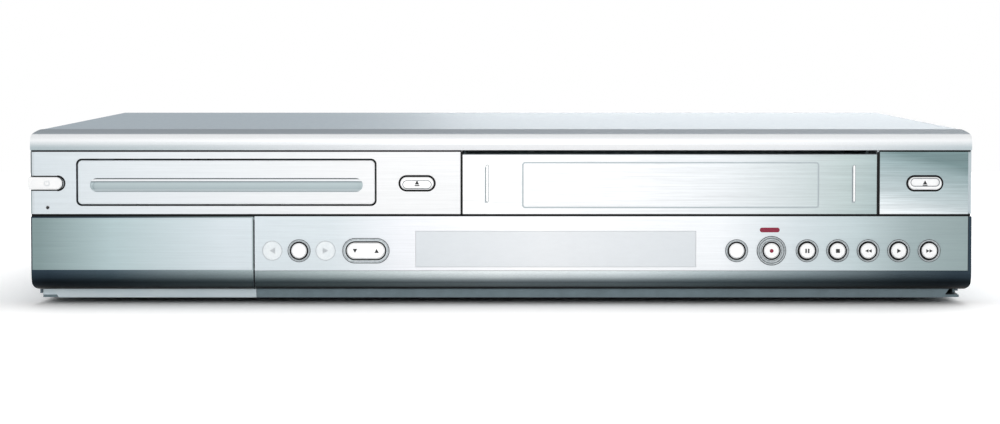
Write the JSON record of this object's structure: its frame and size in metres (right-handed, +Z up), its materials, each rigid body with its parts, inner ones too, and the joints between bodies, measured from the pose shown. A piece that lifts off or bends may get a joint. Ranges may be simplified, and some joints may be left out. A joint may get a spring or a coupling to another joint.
{
  "type": "disc and cassette player",
  "caption": "Full-width silver home player with a motorised disc tray, a front-loading cassette flap, a flip-down input door, a long display window, round transport keys and rear sockets",
  "frame": {"origin": "the middle of the bounding box on the surface the feet stand on", "axes": "+X to the right seen from the front, +Y to the back, +Z up; the fascia faces -Y"},
  "size_m": [0.4358, 0.3526, 0.081],
  "materials": {
    "silver_paint": "moulded plastic with satin silver paint",
    "brushed_silver_film": "moulded plastic faced with a fine horizontally brushed silver film",
    "dark_grey_gloss": "dark metallic grey plastic with a gloss lacquer",
    "coated_steel_sheet": "steel sheet with a satin silver coating",
    "zinc_plated_steel": "zinc-plated steel sheet",
    "key_plastic": "light silver-white moulded plastic",
    "bezel_chrome": "bright plated ring",
    "display_filter": "pale translucent filter",
    "lens_plastic": "pale translucent plastic",
    "display_glass": "fluorescent display tube, modelled as an opaque block",
    "black_plastic": "black moulded plastic",
    "foot_rubber": "moulded rubber",
    "circuit_board": "glass-fibre board with parts on it",
    "transformer_core": "ferrite core and winding in one block",
    "machined_aluminium": "machined aluminium",
    "guide_steel": "ground steel",
    "white_acetal": "white low-friction plastic"
  },
  "bodies": {
    "case": {"aerial_sockets": "zinc_plated_steel", "bottom_chassis": "zinc_plated_steel", "button_bezels": "bezel_chrome", "clamp_bridge": "zinc_plated_steel", "cover_screws": "zinc_plated_steel", "deck_plate": "zinc_plated_steel", "display_module": "display_glass", "display_window": "display_filter", "drum_base": "machined_aluminium", "fan_housing": "black_plastic", "feet": "foot_rubber", "front_board": "circuit_board", "front_frame": "silver_paint", "front_jacks": "black_plastic", "indicator_lenses": "lens_plastic", "jack_housing": "silver_paint", "loader_frame": "black_plastic", "lower_panel": "brushed_silver_film", "lower_trim": "dark_grey_gloss", "main_board": "circuit_board", "mains_inlet": "black_plastic", "power_board": "circuit_board", "rear_jacks": "black_plastic", "rear_panel": "zinc_plated_steel", "scart_sockets": "black_plastic", "tape_posts": "guide_steel", "top_cover": "coated_steel_sheet", "top_trim": "silver_paint", "transformer": "transformer_core", "upper_left_panel": "brushed_silver_film", "upper_right_panel": "brushed_silver_film"},
    "tray": {"disc_tray": "black_plastic", "tray_front": "brushed_silver_film"},
    "loading_pinion": {"loading_gear": "black_plastic"},
    "traverse_unit": {"traverse": "machined_aluminium"},
    "disc_table": {"turntable": "black_plastic"},
    "pickup": {"pickup_sled": "black_plastic"},
    "disc_clamp": {"clamper": "black_plastic"},
    "flap": {"cassette_flap": "brushed_silver_film"},
    "input_door": {"jack_door": "dark_grey_gloss", "jack_door_skin": "brushed_silver_film"},
    "cage": {"cassette_cage": "zinc_plated_steel"},
    "rotary_drum": {"head_drum": "machined_aluminium"},
    "capstan_rotor": {"capstan": "guide_steel"},
    "pinch": {"pinch_arm": "white_acetal"},
    "supply_hub": {"supply_reel": "white_acetal"},
    "takeup_hub": {"takeup_reel": "white_acetal"},
    "fan_wheel": {"fan_rotor": "black_plastic"},
    "rocker": {"channel_rocker": "key_plastic"},
    "standby_key": {"standby_button": "key_plastic"},
    "open_key": {"open_button": "key_plastic"},
    "eject_key": {"eject_button": "key_plastic"},
    "copy_key": {"copy_button": "key_plastic"},
    "source_key": {"source_button": "key_plastic"},
    "record_key": {"record_button": "key_plastic"},
    "pause_key": {"pause_button": "key_plastic"},
    "stop_key": {"stop_button": "key_plastic"},
    "rewind_key": {"rewind_button": "key_plastic"},
    "play_key": {"play_button": "key_plastic"},
    "forward_key": {"forward_button": "key_plastic"}
  },
  "joints": [
    {"name": "tray_slide", "type": "slide", "parent": "case", "child": "tray", "axis": [0, -1, 0], "range_m": [0, 0.13]},
    {"name": "loading_pinion_spin", "type": "hinge", "parent": "case", "child": "loading_pinion", "pos_m": [-0.1759, -0.1417, 0.052], "axis": [0, 0, 1], "range_deg": [0, 746]},
    {"name": "traverse_lift", "type": "slide", "parent": "case", "child": "traverse_unit", "axis": [0, 0, 1], "range_m": [0, 0.007]},
    {"name": "disc_table_spin", "type": "hinge", "parent": "traverse_unit", "child": "disc_table", "pos_m": [-0.1269, -0.1047, 0.05], "axis": [0, 0, 1], "continuous": true},
    {"name": "pickup_slide", "type": "slide", "parent": "traverse_unit", "child": "pickup", "axis": [0, 1, 0], "range_m": [0, 0.034]},
    {"name": "disc_clamp_spin", "type": "hinge", "parent": "case", "child": "disc_clamp", "pos_m": [-0.1269, -0.1047, 0.06], "axis": [0, 0, 1], "continuous": true},
    {"name": "flap_hinge", "type": "hinge", "parent": "case", "child": "flap", "pos_m": [0.0779, -0.1735, 0.0689], "axis": [1, 0, 0], "range_deg": [0, 80], "stiffness_Nm_per_rad": 0.004, "springref_deg": -8.59},
    {"name": "input_door_hinge", "type": "hinge", "parent": "case", "child": "input_door", "pos_m": [-0.166, -0.1657, 0.0157], "axis": [1, 0, 0], "range_deg": [0, 90]},
    {"name": "cage_lower", "type": "slide", "parent": "case", "child": "cage", "axis": [0, 0, -1], "range_m": [0, 0.015]},
    {"name": "drum_spin", "type": "hinge", "parent": "case", "child": "rotary_drum", "pos_m": [0.0779, -0.0047, 0.027], "axis": [0, 0.1045, 0.9945], "continuous": true},
    {"name": "capstan_spin", "type": "hinge", "parent": "case", "child": "capstan_rotor", "pos_m": [0.1359, -0.0287, 0.02], "axis": [0, 0, 1], "continuous": true},
    {"name": "pinch_swing", "type": "hinge", "parent": "case", "child": "pinch", "pos_m": [0.1437, -0.0137, 0.025], "axis": [0, 0, -1], "range_deg": [0, 28], "stiffness_Nm_per_rad": 0.003, "springref_deg": -8.59},
    {"name": "supply_spin", "type": "hinge", "parent": "case", "child": "supply_hub", "pos_m": [0.0316, -0.0907, 0.028], "axis": [0, 0, 1], "continuous": true},
    {"name": "takeup_spin", "type": "hinge", "parent": "case", "child": "takeup_hub", "pos_m": [0.1242, -0.0907, 0.028], "axis": [0, 0, 1], "continuous": true},
    {"name": "fan_spin", "type": "hinge", "parent": "case", "child": "fan_wheel", "pos_m": [-0.16, 0.1603, 0.046], "axis": [0, 1, 0], "continuous": true},
    {"name": "rocker_tilt", "type": "hinge", "parent": "case", "child": "rocker", "pos_m": [-0.0625, -0.1685, 0.0251], "axis": [0, 0, 1], "range_deg": [-3, 3], "stiffness_Nm_per_rad": 0.4},
    {"name": "standby_press", "type": "slide", "parent": "case", "child": "standby_key", "axis": [0, 1, 0], "range_m": [0, 0.0008], "stiffness_N_per_m": 300, "springref_m": -0.0005},
    {"name": "open_press", "type": "slide", "parent": "case", "child": "open_key", "axis": [0, 1, 0], "range_m": [0, 0.0008], "stiffness_N_per_m": 300, "springref_m": -0.0005},
    {"name": "eject_press", "type": "slide", "parent": "case", "child": "eject_key", "axis": [0, 1, 0], "range_m": [0, 0.0008], "stiffness_N_per_m": 300, "springref_m": -0.0005},
    {"name": "copy_press", "type": "slide", "parent": "case", "child": "copy_key", "axis": [0, 1, 0], "range_m": [0, 0.0008], "stiffness_N_per_m": 300, "springref_m": -0.0005},
    {"name": "source_press", "type": "slide", "parent": "case", "child": "source_key", "axis": [0, 1, 0], "range_m": [0, 0.0008], "stiffness_N_per_m": 300, "springref_m": -0.0005},
    {"name": "record_press", "type": "slide", "parent": "case", "child": "record_key", "axis": [0, 1, 0], "range_m": [0, 0.0008], "stiffness_N_per_m": 300, "springref_m": -0.0005},
    {"name": "pause_press", "type": "slide", "parent": "case", "child": "pause_key", "axis": [0, 1, 0], "range_m": [0, 0.0008], "stiffness_N_per_m": 300, "springref_m": -0.0005},
    {"name": "stop_press", "type": "slide", "parent": "case", "child": "stop_key", "axis": [0, 1, 0], "range_m": [0, 0.0008], "stiffness_N_per_m": 300, "springref_m": -0.0005},
    {"name": "rewind_press", "type": "slide", "parent": "case", "child": "rewind_key", "axis": [0, 1, 0], "range_m": [0, 0.0008], "stiffness_N_per_m": 300, "springref_m": -0.0005},
    {"name": "play_press", "type": "slide", "parent": "case", "child": "play_key", "axis": [0, 1, 0], "range_m": [0, 0.0008], "stiffness_N_per_m": 300, "springref_m": -0.0005},
    {"name": "forward_press", "type": "slide", "parent": "case", "child": "forward_key", "axis": [0, 1, 0], "range_m": [0, 0.0008], "stiffness_N_per_m": 300, "springref_m": -0.0005}
  ],
  "couplings": [
    {"joint": "loading_pinion_spin", "follows": "tray_slide", "rad_per_m": 100},
    {"joint": "disc_clamp_spin", "follows": "disc_table_spin", "ratio": 1}
  ]
}
